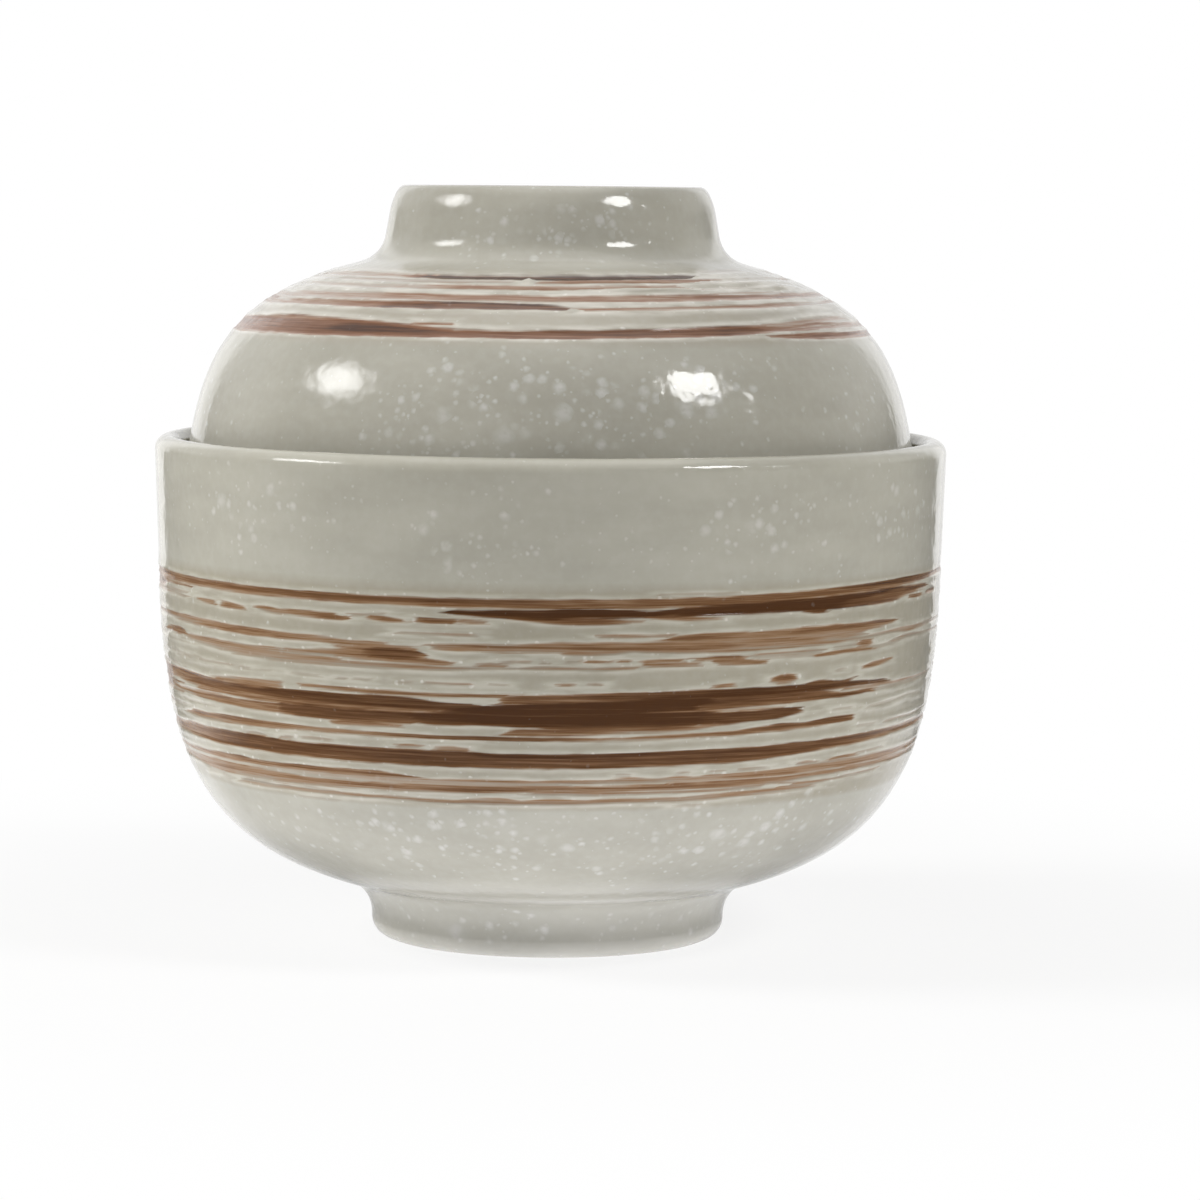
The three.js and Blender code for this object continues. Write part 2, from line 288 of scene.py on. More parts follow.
    (0.66, -95,24.9,25.3, -75,25.1,25.5, -65,25.15,25.65, -52.5,25.1,25.85, -50,25.1,25.6, -45,25.1,25.6,
     -40,25.05,25.8, -26,25.1,25.9, -23,25.15,25.65, -18.5,25.15,25.3),
    (0.4, -18.5,25,25.2, -12,25.05,25.35, -5,25.05,25.4, -2,25.05,25.25, 2,25.05,25.45, 8,25.1,25.45,
     12,25.15,25.75, 16,25.15,25.5, 19,25.2,25.75, 22,25.2,25.5, 24,25.2,25.85, 28,25.15,25.6),
    (0.46, 25,25.15,25.7, 31,25.05,25.85, 35,25.05,25.85, 40,25.15,26.1, 46,25.25,26.25, 52,25.35,26.3,
     60,25.55,26.35, 66,25.7,26.4, 80,26.1,26.65),
    (0.22, 10.2,26,26.2, 11.5,26,26.15),
    (0.25, 19.3,26.05,26.25, 20.4,26.05,26.25),
    (0.22, 24.2,26.1,26.25, 26.3,26.1,26.22),
    (0.32, 29,26.1,26.3, 32,26.15,26.4, 34,26.2,26.32),
    (0.38, 39,26.2,26.4, 41,26.2,26.55, 43.5,26.3,26.42),
    (0.36, 45.5,26.2,26.5, 49,26.3,26.75, 53,26.6,26.8),
    (0.25, 53,26.75,26.9, 60,27,27.15),
    (0.3, -66,22.8,23.3, -60,23,23.4),
    (0.5, -95,23.6,24.3, -75,23.8,24.6, -68,23.7,24.7, -64,23.2,24.8, -55,23.4,24.7, -45,23.4,24.55,
     -38,23.4,24.35, -30,23.6,24.4, -12,23.7,24.5, -5,24,24.55, 3,24,24.7, 12,24.1,24.75, 28,24.1,24.85,
     36,24.2,24.9, 44,24.5,25.05, 60,24.9,25.4, 85,25.3,25.7),
    (0.4, -5,23.7,23.9, 5,23.6,23.95, 15,23.7,23.95, 25,23.65,24, 34,23.9,24.1),
    (0.38, 36,23.3,24, 40,23.4,24, 44,23.6,23.95, 50,23.9,24.1, 62,24.2,24.4),
    (0.4, -58,22.5,22.9, -44,22.4,22.9, -36,22.4,22.9, -28,22.4,22.75, -25,22.55,22.9, -21,22.5,22.8,
     -14,22.3,22.7, -12,22.4,23, -7,22.4,23.2, -4,22.4,22.8, 0,22.45,23.15, 5,22.5,22.95, 8,22.6,23.15,
     20,22.65,23.1, 26,22.75,23.3, 32,22.95,23.5, 42,23.2,23.5, 47,23.4,23.55),
    (0.15, -41,21.6,21.78, -33,21.6,21.72),
    (0.18, 19,21.9,22.06, 23.5,21.86,22.05),
]
LID_STROKES = [
    (0.4, -82,83.8,84.05, -70,83.8,84.1, -50,83.82,84.15, -30,83.85,84.15),
    (1.25, -42,83.87,84.1, -28,83.83,84.2, 0,83.8,84.22, 12,83.83,84.25, 25,83.95,84.32, 34,84,84.32,
     38,84.1,84.25),
    (0.2, 44,84.6,84.75, 52,84.65,84.85, 62,84.7,84.85),
    (0.4, -62,83.45,83.6, -52,83.4,83.65, -44,83.4,83.7, -35,83.35,83.65, -20,83.4,83.65, -8,83.4,83.55),
    (0.55, -3.5,83.4,83.6, 5,83.4,83.75, 15,83.5,83.8, 25,83.5,83.8, 40,83.5,83.75, 60,83.5,83.7,
     80,83.5,83.65),
    (0.38, -72,82.65,82.85, -56,82.65,82.95, -40,82.6,82.9, -20,82.65,83),
    (0.52, -32,82.65,82.95, -25,82.65,83, -10,82.65,83.05, 5,82.7,83.1, 20,82.7,83.1, 35,82.75,83.05,
     50,82.8,83, 64,82.7,82.85),
    (0.2, -80,82.6,82.8, -62,82.65,82.8),
    (0.25, 36,82.1,82.2, 44,82.1,82.35, 52,82.05,82.3, 60,82.2,82.35),
    (0.46, -95,81.05,81.4, -70,81.15,81.65, -60,81.3,82, -40,81.35,82.05, -20,81.4,82),
    (0.58, -44,81.35,82.05, -28,81.4,82, -15,81.35,81.95, 0,81.35,81.9, 12,81.35,81.95, 25,81.45,82,
     38,81.5,82.05, 50,81.6,82.15, 62,81.65,82.1, 95,81.5,81.8),
    (0.47, 4,80.35,80.55, 15,80.35,80.6, 25,80.45,80.75, 35,80.55,80.8, 45,80.6,80.9, 55,80.65,81,
     65,80.75,80.95, 90,80.8,81),
    (0.64, -90,80.3,80.6, -65,80.4,80.9, -55,80.45,81, -35,80.45,81.05, -20,80.4,81.1),
    (0.98, -38,80.45,81, -25,80.4,81.1, -8,80.45,81.1, -3,80.45,80.95, 1,80.4,80.8, 4.5,80.4,80.5),
    (0.45, -26,78.4,78.7, -22,78.5,78.7, -18,78.55,78.65),
    (0.72, -95,76.9,78, -75,76.9,78.6, -65,76.9,78.9, -55,76.95,79.1, -40,77.05,78.9, -33,77.1,78.75,
     -28,77.1,78.5, -20,77.2,78.15, -16,77.2,77.95),
    (0.92, -46,77.6,78.5, -38,77.5,78.6, -30,77.6,78.5, -25,77.5,78.2, -17,77.3,77.95, -9,77.25,77.75),
    (0.78, -32,77.1,77.8, -17,77.15,77.95, 0,77.15,77.95, 8,77.2,78.05, 16,77.25,78.2, 25,77.35,78.3,
     32,77.45,78.4, 38,77.6,78.4, 42,77.9,78.3),
    (0.52, 38,77.65,78.4, 44,77.8,78.45, 50,77.85,78.6, 57,78,78.85, 65,78,78.5, 95,77.9,78.4),
    (0.62, 40.5,77.1,77.25, 44,77.05,77.35, 48,76.95,77.4, 54,76.8,77.5, 60,76.75,77.4, 66,76.7,77.3,
     95,76.7,77.2),
    (0.85, 44,77.05,77.25, 50,76.9,77.15, 56,76.75,77),
    (0.3, 42,78.35,78.6, 50,78.5,78.9, 58,78.7,79.2, 66,78.7,79.3, 74,78.7,79.1),
    (0.12, 43,78,78.1, 50,78.15,78.27, 58,78.35,78.5, 70,78.4,78.5),
    (0.12, 48,77.6,77.75, 56,77.65,77.85, 64,77.6,77.8, 75,77.5,77.65),
    (0.35, 67.5,76.3,76.6, 69.5,76.4,76.7),
    (0.2, 70,79.1,79.25, 75,79.2,79.35),
]

# Lanes that carry the strokes round the back: middle height, width, tone, share of the turn covered
BOWL_LANES = [
    (46.9, 0.9, 0.66, 0.97), (45.5, 0.9, 0.92, 0.35), (44.6, 0.5, 0.55, 0.6), (42.7, 0.2, 0.28, 0.3),
    (41.8, 0.8, 0.46, 0.85), (40.2, 0.9, 0.55, 0.45), (39.1, 0.5, 0.4, 0.7), (37.1, 0.25, 0.3, 0.45),
    (35.5, 0.5, 0.55, 0.6), (34.5, 1.3, 0.88, 0.8), (32.8, 1.3, 0.8, 0.75), (30.5, 0.5, 0.6, 0.85),
    (28.2, 1.5, 0.78, 0.97), (25.5, 0.6, 0.58, 0.85), (24.2, 0.8, 0.45, 0.9), (22.8, 0.45, 0.34, 0.6),
]
LID_LANES = [
    (84.2, 0.3, 0.7, 0.7), (83.5, 0.25, 0.42, 0.75), (82.8, 0.35, 0.33, 0.7), (81.6, 0.6, 0.44, 0.9),
    (80.7, 0.5, 0.6, 0.85), (78.2, 1.0, 0.62, 0.85), (77.2, 0.6, 0.66, 0.8),
]
BACK_START = 84.0
BACK_END = 278.0
WIDE_STROKE = 0.7
CORE_DARKER = 0.16

# Clusters of pale specks: angle, height, reach in degrees and in height, density
BOWL_FLECKS = [
    (-46, 56, 16, 5, 0.6), (-15, 53, 8, 4, 0.45), (-6, 54.5, 7, 4, 0.5), (-8, 60.5, 6, 2, 0.5),
    (20, 54, 10, 4, 0.4), (36, 55.5, 14, 5, 0.5), (62, 55, 12, 5, 0.6), (-30, 18, 24, 5, 0.5),
    (8, 17, 32, 6, 0.5), (40, 18, 20, 5, 0.5), (110, 56, 14, 5, 0.7), (150, 54, 16, 5, 0.8),
    (190, 57, 12, 4, 0.6), (225, 54, 16, 5, 0.7), (262, 56, 14, 5, 0.7), (-32, 3.5, 22, 3, 0.5),
    (8, 4, 26, 3, 0.4), (45, 3.5, 20, 3, 0.5), (120, 16, 22, 4, 0.7), (200, 15, 22, 5, 0.7),
    (255, 17, 18, 4, 0.6), (100, 4, 24, 3, 0.4), (175, 3.5, 26, 3, 0.5), (250, 4, 24, 3, 0.4),
]
LID_FLECKS = [
    (-8, 70, 15, 6, 0.9), (-20, 66, 10, 5, 0.6), (12, 68, 14, 6, 0.6), (28, 72, 10, 4, 0.7),
    (10, 90, 26, 4, 0.8), (-20, 89, 18, 3, 0.4), (60, 68, 14, 5, 0.4), (105, 70, 18, 6, 0.7),
    (165, 68, 16, 6, 0.8), (230, 70, 18, 6, 0.7), (280, 67, 14, 5, 0.5),
]
FLECK_GROUND = 0.3
SPOT_WAVER = 0.3

# Pale line where a foot meets the curve above or below it, partly glaze that gathers there and partly a
# painted highlight along the crease: height, reach, amount
BOWL_POOL_AND_HIGHLIGHT = (8.2, 0.5, 0.5)
LID_POOL_AND_HIGHLIGHT = (85.6, 0.5, 0.15)

# Small raised drops of glaze on the lid: angle, height, radius
LID_DROPS = [(-5.5, 83.6, 0.9), (18, 82.6, 0.7), (28.5, 82.5, 0.6), (55, 83.2, 1.4), (61, 82.7, 0.8)]

# Colours of the glaze: its deep and light patches, the band between the strokes, the specks, the ridges
# beside the strokes, lighter in part as a painted highlight, and the beads on them, also used for the pale
# crease line
BOWL_BASE = [
    (166, 163, 150), (177, 174, 161), (151, 144, 125), (214, 213, 208), (196, 192, 178), (222, 220, 212),
]
LID_BASE = [
    (160, 157, 145), (170, 167, 155), (159, 152, 137), (211, 211, 210), (210, 206, 196), (224, 222, 216),
]
FLECK = 3

# Colours of the strokes at these tones
BRUSH_TONES = (0.14, 0.28, 0.42, 0.6, 0.8, 1.0)
BOWL_BRUSH = [
    (147, 136, 119), (149, 128, 106), (143, 113, 84), (116, 83, 54), (95, 64, 37), (76, 46, 20),
]
LID_BRUSH = [
    (163, 153, 142), (160, 142, 127), (146, 118, 97), (126, 89, 67), (104, 70, 48), (70, 48, 37),
]

# Shifts in millimetres that keep the pieces from sharing a pattern
LID_SHIFT = 137.0
CLAY_SHIFT = 31.0

# Lamps: degrees round the axis and above the floor, distance, width and height in metres, power in
# watts, and whether reflections show them. All aim at the axis, LAMP_AIM metres above the floor.
LAMPS = [
    ("left_box", -81, 33, 0.8, 0.46, 0.29, 3.9, True),
    ("left_fill", -83, 33, 0.8, 0.32, 0.2, 4.3, False),
    ("right_box", 53.5, 39, 0.8, 0.22, 0.2, 1.75, True),
    ("right_fill", 55, 39, 0.8, 0.27, 0.2, 1.95, False),
    ("right_spill", 71, 29, 0.8, 0.04, 0.08, 0.08, True),
    ("right_rim", 152, 12, 0.5, 0.13, 0.4, 0.036, True),
    ("left_rim", -152, 12, 0.5, 0.13, 0.4, 0.036, True),
    ("top_box", 0, 88, 1.1, 1.0, 1.0, 1.8, True),
]
LAMP_AIM = 0.05

# Light from all round, the floor's half width in metres, and the camera in metres and degrees
AMBIENT = 0.12
FLOOR_HALF = 6.0
CAMERA_PLACE = (0, -0.6, 0.0965)
CAMERA_LENS = 142.2
CAMERA_TURN = -0.61
CAMERA_DOWN = 5.13
CAMERA_ROLL = 0.5


def srgb(red, green, blue):
    """A colour given in 0 to 255, none of it near black, as Blender's linear values."""
    return (*[((value / 255 + 0.055) / 1.055) ** 2.4 for value in (red, green, blue)], 1.0)


def smooth(low, high, value):
    part = np.clip((value - low) / (high - low), 0.0, 1.0)
    return part * part * (3 - 2 * part)


def polar(start, angle, distance):
    return (start[0] + distance * cos(angle), start[1] + distance * sin(angle))


def line(start, end, steps):
    part = np.linspace(0, 1, steps + 1)[:, None]
    return np.array(start) * (1 - part) + np.array(end) * part


def arc(centre, radius, start, end, steps):
    angle = np.linspace(start, end, steps + 1)
    return np.stack([centre[0] + radius * np.cos(angle), centre[1] + radius * np.sin(angle)], axis=1)


def bend(start, start_handle, end_handle, end, steps=240):
    part = np.linspace(0, 1, steps + 1)[:, None]
    rest = 1 - part
    return (
        rest**3 * np.array(start)
        + 3 * rest**2 * part * np.array(start_handle)
        + 3 * rest * part**2 * np.array(end_handle)
        + part**3 * np.array(end)
    )


def lengths(points):
    """Distance along a curve from its start to each point."""
    return np.concatenate([[0], np.cumsum(np.hypot(*np.diff(points, axis=0).T))])


def spaced(points, step_at):
    """The same curve with rows at the step that step_at gives for each height."""
    run = lengths(points)
    stops = [0.0]
    while stops[-1] < run[-1]:
        height = np.interp(stops[-1], run, points[:, 1])
        stops.append(stops[-1] + step_at(height))
    stops = np.array(stops) * run[-1] / stops[-1]
    return np.stack([np.interp(stops, run, points[:, k]) for k in (0, 1)], axis=1)


def band_step(band, fine_step):
    return lambda height: fine_step if band[0] <= height <= band[1] else PLAIN_STEP


def even(points, step):
    return spaced(points, lambda height: step)


def join(*parts):
    """One curve from several. A number between two is the steps of a straight line that joins them."""
    rows = [parts[0]]
    for part, following in zip(parts[1:], (*parts[2:], None)):
        curve = line(rows[-1][-1], following[0], part) if isinstance(part, int) else part
        near = np.hypot(*(curve[0] - rows[-1][-1])) < 1e-6
        rows.append(curve[1:] if near else curve)
    return np.vstack(rows)


def bowl_outline():
    floor = FOOT_HEIGHT + FLOOR_RISE
    hollow = floor - BASE_THICKNESS
    outer = (FOOT_RADIUS - FOOT_OUTER_EDGE, FOOT_OUTER_EDGE)
    inner = (outer[0] - FOOT_FLAT, FOOT_INNER_EDGE)
    hollow_radius = inner[0] - FOOT_INNER_EDGE
    corner = (hollow_radius - HOLLOW_FILLET, hollow - HOLLOW_FILLET)
    fillet = (FOOT_RADIUS + FOOT_FILLET, FOOT_HEIGHT - FOOT_FILLET * cos(BELLY_SLOPE))
    springing = polar(fillet, pi / 2 + BELLY_SLOPE, FOOT_FILLET)
    waist = (RIM_RADIUS - WALL_DRAFT, WAIST_HEIGHT)
    lip = (RIM_RADIUS - LIP_OUTER_ROUND, RIM_HEIGHT - LIP_OUTER_ROUND)
    lip_radius = LIP_INNER_RADIUS - LIP_BULGE
    lip_inner = (lip_radius + LIP_INNER_ROUND, RIM_HEIGHT - LIP_INNER_ROUND)
    lip_start = (RIM_RADIUS, lip[1])
    wall_angle = atan2(lip_start[1] - waist[1], lip_start[0] - waist[0])
    belly = bend(
        springing,
        polar(springing, BELLY_SLOPE, (waist[0] - springing[0]) * BELLY_FOOT_RATIO),
        polar(waist, wall_angle, -(waist[1] - springing[1]) * BELLY_WAIST_RATIO),
        waist,
    )
    wall = join(belly, line(waist, lip_start, 60))
    well_radius = LIP_INNER_RADIUS - LEDGE_WIDTH
    edge = (well_radius + LEDGE_EDGE, LEDGE_HEIGHT - LEDGE_EDGE)
    well = bend(
        (well_radius, WAIST_HEIGHT),
        (well_radius, WAIST_HEIGHT - (WAIST_HEIGHT - floor) * WELL_WAIST_RATIO),
        (well_radius * WELL_FLOOR_RATIO, floor),
        (0, floor),
    )
    return join(
        even(line((0, hollow), (corner[0], hollow), 20), FLOOR_STEP),
        arc(corner, HOLLOW_FILLET, pi / 2, 0, 4),
        2,
        arc(inner, FOOT_INNER_EDGE, pi, 1.5 * pi, 4),
        3,
        arc(outer, FOOT_OUTER_EDGE, -pi / 2, 0, 6),
        2,
        arc(fillet, FOOT_FILLET, pi, pi / 2 + BELLY_SLOPE, 12),
        spaced(wall, band_step(BOWL_BAND, BOWL_FINE_STEP)),
        arc(lip, LIP_OUTER_ROUND, 0, pi / 2, 9),
        arc(lip_inner, LIP_INNER_ROUND, pi / 2, pi, 7),
        3,
        line((lip_radius, LEDGE_HEIGHT), (edge[0], LEDGE_HEIGHT), 2),
        arc(edge, LEDGE_EDGE, pi / 2, pi, 4),
        4,
        even(well, WELL_STEP),
    )


def lid_outline():
    top = LEDGE_HEIGHT + LID_HEIGHT
    crown = (0, top - CUP_DEPTH - CROWN_THICKNESS)
    seat_inner = (LID_RADIUS - LID_WALL, LEDGE_HEIGHT)
    lean = pi / 2 + LID_LEAN
    underside = bend(
        crown,
        (seat_inner[0] * UNDERSIDE_CROWN_RATIO, crown[1]),
        polar(seat_inner, lean, (crown[1] - LEDGE_HEIGHT) * UNDERSIDE_EDGE_RATIO),
        seat_inner,
    )
    edge_round = (LID_RADIUS - LID_EDGE, LEDGE_HEIGHT + LID_EDGE)
    edge = (LID_RADIUS, LEDGE_HEIGHT + LID_EDGE)

    # The grip ring's side and the dome meet in a corner, which the root round fills
    side_angle = pi / 2 + RING_LEAN
    side = (RING_RADIUS, top - RING_OUTER_EDGE)
    springing = (RING_RADIUS + RING_FLARE + RING_FILLET * (1 - sin(DOME_SLOPE)), top - RING_RISE)
    down = side[1] - springing[1] - tan(DOME_SLOPE) * (springing[0] - side[0])
    down = down / (cos(RING_LEAN) - tan(DOME_SLOPE) * sin(RING_LEAN))
    corner = polar(side, side_angle, -down)
    length = RING_ROOT_ROUND / tan((side_angle + DOME_SLOPE) / 2)
    root = polar(corner, side_angle, length)
    fillet = polar(root, side_angle - pi / 2, RING_ROOT_ROUND)
    shoulder = polar(corner, -DOME_SLOPE, length)
    dome = bend(
        edge,
        polar(edge, lean, (shoulder[1] - edge[1]) * DOME_EDGE_RATIO),
        polar(shoulder, -DOME_SLOPE, (edge[0] - shoulder[0]) * DOME_RING_RATIO),
        shoulder,
    )
    turn_in = polar(side, side_angle, (RING_OUTER_EDGE - RING_SHOULDER) / cos(RING_LEAN))
    flat = (RING_RADIUS - RING_TURN_IN, top)
    turn_handle = polar(turn_in, side_angle, RING_SIDE_HANDLE)
    rounding = bend(turn_in, turn_handle, (flat[0] + RING_TOP_HANDLE, top), flat)
    cup = RING_RADIUS - RING_WALL
    inner = (cup + RING_INNER_EDGE, top - RING_INNER_EDGE)
    cup_floor = top - CUP_DEPTH
    hollow = (cup - CUP_TAPER - CUP_FILLET, cup_floor + CUP_FILLET)
    return join(
        even(underside, UNDERSIDE_STEP),
        3,
        arc(edge_round, LID_EDGE, -pi / 2, 0, 4),
        spaced(dome, band_step(LID_BAND, LID_FINE_STEP)),
        arc(fillet, RING_ROOT_ROUND, 1.5 * pi - DOME_SLOPE, pi + RING_LEAN, 8),
        4,
        even(rounding, ROUNDING_STEP),
        2,
        arc(inner, RING_INNER_EDGE, pi / 2, pi, 4),
        3,
        arc(hollow, CUP_FILLET, 0, -pi / 2, 6),
        even(line((hollow[0], cup_floor), (0, cup_floor), 20), FLOOR_STEP),
    )


def turn_noise(random, angle, height, per_turn, per_mm):
    """Smooth random values from 0 to 1 that join up after a full turn."""
    up = height * per_mm
    up = up - up.min()
    table = random.random((int(up.max()) + 2, per_turn))
    column, turn_part = np.divmod(angle / 360 % 1.0 * per_turn, 1)
    row, up_part = np.divmod(up, 1)
    turn_part, up_part = smooth(0, 1, turn_part), smooth(0, 1, up_part)
    row = row.astype(int)
    column = column.astype(int) % per_turn
    beside = (column + 1) % per_turn
    lower = table[row, column] * (1 - turn_part) + table[row, beside] * turn_part
    upper = table[row + 1, column] * (1 - turn_part) + table[row + 1, beside] * turn_part
    return lower * (1 - up_part) + upper * up_part


def back_knots(random, middle, width, drift, start, stop, count):
    """Knots of a stroke that wanders about its lane, swells and tapers."""
    knots = []
    for part in np.linspace(0, 1, count):
        place = start + (stop - start) * part
        turn = radians(place)
        centre = middle + 0.25 * sin(2 * turn + drift) + random.uniform(-0.1, 0.1)
        swell = 0.8 + 0.35 * sin(5 * turn + 2 * drift)
        taper = min(1.0, 0.4 + 5 * min(part, 1 - part))
        half = width / 2 * taper * swell * random.uniform(0.8, 1.25)
        knots.append((place, centre - half, centre + half))
    return knots


def bristle_tail(random, knots, stop):
    """A thin line that one bristle draws on past the end of a stroke."""
    low, high = knots[-2][1:]
    level = low + (high - low) * random.uniform(-0.2, 1.2)
    last = stop + random.uniform(3, 16)
    half = random.uniform(0.05, 0.12)
    along = [(stop - 8, level - half, level + half), (stop, level - half, level + half)]
    return [*along, (last, level - 0.04, level + 0.04)]


def back_strokes(random, lanes):
    """Strokes for the side that faces away, in the same lanes as those in front."""
    strokes = []
    for middle, width, tone, cover in lanes:
        angle = BACK_START + random.uniform(-6, 6)
        drift = random.uniform(0, 2 * pi)
        while angle < BACK_END:
            length = random.uniform(18, 75) * (0.4 + cover)
            stop = min(angle + length, BACK_END + 8)
            knots = back_knots(random, middle, width, drift, angle, stop, max(6, int(length / 6)))
            shade = tone * random.uniform(0.8, 1.15)
            strokes.append((min(1.0, shade), *knots))

            # A wide stroke has a darker core, and some bristles run on past the end of any
            if width > WIDE_STROKE:
                core = []
                for place, low, high in knots[1:-2]:
                    core.append((place, low + 0.3 * (high - low), high - 0.2 * (high - low)))
                strokes.append((min(1.0, shade + CORE_DARKER), *core))
            for bristle in range(random.integers(1, 4)):
                tail = bristle_tail(random, knots, stop)
                strokes.append((max(0.15, shade - random.uniform(0.05, 0.25)), *tail))
            gap = length * (1 - cover) / max(cover, 0.1)
            angle = stop + gap * random.uniform(0.6, 1.4) - 3 * cover
    return strokes


def clusters(flecks, angle, height):
    """How many of the possible specks show at each point, from 0 to 1."""
    density = np.full(height.shape, FLECK_GROUND)
    for place, level, turn_reach, reach, amount in flecks:
        away = ((angle - place + 180) % 360 - 180) / turn_reach
        density = density + amount * np.exp(-(away**2) - ((height - level) / reach) ** 2)
    return np.clip(density, 0, 1)


def softened(random, along, places, edge, reach):
    """An edge between its knots, with the corners rounded off and a slight waver."""
    knots = np.arange(along[0] - 2, along[-1] + 4, 2.0)
    waver = np.interp(along, knots, random.uniform(-reach, reach, len(knots)))
    span = np.hanning(13)[1:-1]
    path = np.concatenate([np.full(5, edge[0]), np.interp(along, places, edge), np.full(5, edge[-1])])
    return np.convolve(path, span / span.sum(), "valid") + waver


def paint(random, strokes, angle, height):
    """Distance inside the nearest stroke, negative outside, and that stroke's tone, at each point."""
    depth = np.full(height.shape, FAR_OUTSIDE)
    tone = np.full(height.shape, 0.3)
    lighter = THIN_LIGHTER * np.exp(-(((angle - THIN_ANGLE) / THIN_REACH) ** 2))
    for stroke_tone, *knots in strokes:
        places, bottoms, tops = np.array(knots, float).reshape(-1, 3).T
        turns = (angle - places[0] + 40) % 360 - 40 + places[0]
        reach = 0.02 + 0.04 * np.clip(tops - bottoms, 0, 1).mean()
        along = np.arange(places[0], places[-1] + 0.25, 0.25)
        bottom = np.interp(turns, along, softened(random, along, places, bottoms, reach))
        top = np.interp(turns, along, softened(random, along, places, tops, reach))
        inside = np.minimum(height - bottom, top - height)

        # The bristles touch down and lift off one after another
        levels = np.arange(bottoms.min() - 0.6, tops.max() + 1.0, BRISTLE_STEP)
        length = places[-1] - places[0]
        ragged = min(LONGEST_BRISTLE, 0.16 * length)
        begin = np.interp(height, levels, random.uniform(-0.4, 1.0, len(levels))) * ragged
        finish = np.interp(height, levels, random.uniform(-0.4, 1.0, len(levels))) * ragged
        past_end = np.maximum(places[0] + begin - turns, turns - places[-1] + finish)
        inside = np.minimum(inside, 0.05 - 0.3 * past_end)

        # A stroke covers what lies under it, but fades in and out over another one
        fade = smooth(-1.0, 0.12 * length + 1.0, -past_end)
        covered = smooth(-0.1, 0.15, depth)
        over = smooth(-0.06, 0.12, inside) * (1 - covered * (1 - fade))
        nearer = np.maximum(over, smooth(-0.02, 0.06, inside - depth) * (1 - covered))
        over = np.where(inside > depth, nearer, over)
        lean = np.clip((2 * height - bottom - top) / np.maximum(top - bottom, 0.3), -1, 1)
        tone = tone + (stroke_tone + TOP_DARKER * lean - tone) * over
        depth = np.maximum(depth, inside)
    return depth, np.clip(tone - lighter, 0.1, 1.3)


def add_object(name, data):
    thing = bpy.data.objects.new(name, data)
    bpy.context.scene.collection.objects.link(thing)
    return thing


def turned_mesh(name, outline, push, values):
    """A mesh turned from an outline that starts and ends on the axis, pushed out along its normals."""
    angle = np.radians(np.arange(COLUMNS) / COLUMNS * 360 - 180)
    rows = len(outline) - 2
    across, up = np.gradient(outline, axis=0)[1:-1].T[:, :, None]
    reach = push / np.hypot(across, up)
    radius = outline[1:-1, :1] + up * reach
    height = outline[1:-1, 1:] - across * reach
    ring = np.stack([radius * np.sin(angle), -radius * np.cos(angle), height], axis=2).reshape(-1, 3)
    poles = np.array([[0, 0, outline[0, 1]], [0, 0, outline[-1, 1]]])
    points = np.vstack([ring, poles]) * MM
    first, last = rows * COLUMNS, rows * COLUMNS + 1

    run = lengths(outline)
    run = run / run[-1]
    faces = []
    uvs = []
    for j in range(COLUMNS):
        k = (j + 1) % COLUMNS
        left, right = j / COLUMNS, (j + 1) / COLUMNS
        faces.append((first, k, j))
        uvs.append([(left + right) / 2, run[0], right, run[1], left, run[1]])
        for i in range(rows - 1):
            low, high = i * COLUMNS, (i + 1) * COLUMNS
            faces.append((low + j, low + k, high + k, high + j))
            uvs.append([left, run[i + 1], right, run[i + 1], right, run[i + 2], left, run[i + 2]])
        low = (rows - 1) * COLUMNS
        faces.append((low + j, low + k, last))
        uvs.append([left, run[-2], right, run[-2], (left + right) / 2, run[-1]])

    mesh = bpy.data.meshes.new(name)
    mesh.from_pydata(points.tolist(), [], faces)
    layer = mesh.uv_layers.new(name="OFBake")
    layer.data.foreach_set("uv", np.concatenate(uvs))
    for key, grid in values.items():
        whole = np.concatenate([grid.reshape(-1), [grid[0, 0], grid[-1, 0]]])
        mesh.attributes.new(key, "FLOAT", "POINT").data.foreach_set("value", whole.astype(np.float32))
    mesh.polygons.foreach_set("use_smooth", np.ones(len(mesh.polygons), bool))
    mesh.update()
    return add_object(name, mesh)


def bare_faces(piece, low_radius, high_radius, height):
    """Gives the second material to the faces of a level ring."""
    for face in piece.data.polygons:
        level = abs(face.center.z / MM - height) < LEVEL_MARGIN
        if level and low_radius < face.center.xy.length / MM < high_radius:
            face.material_index = 1


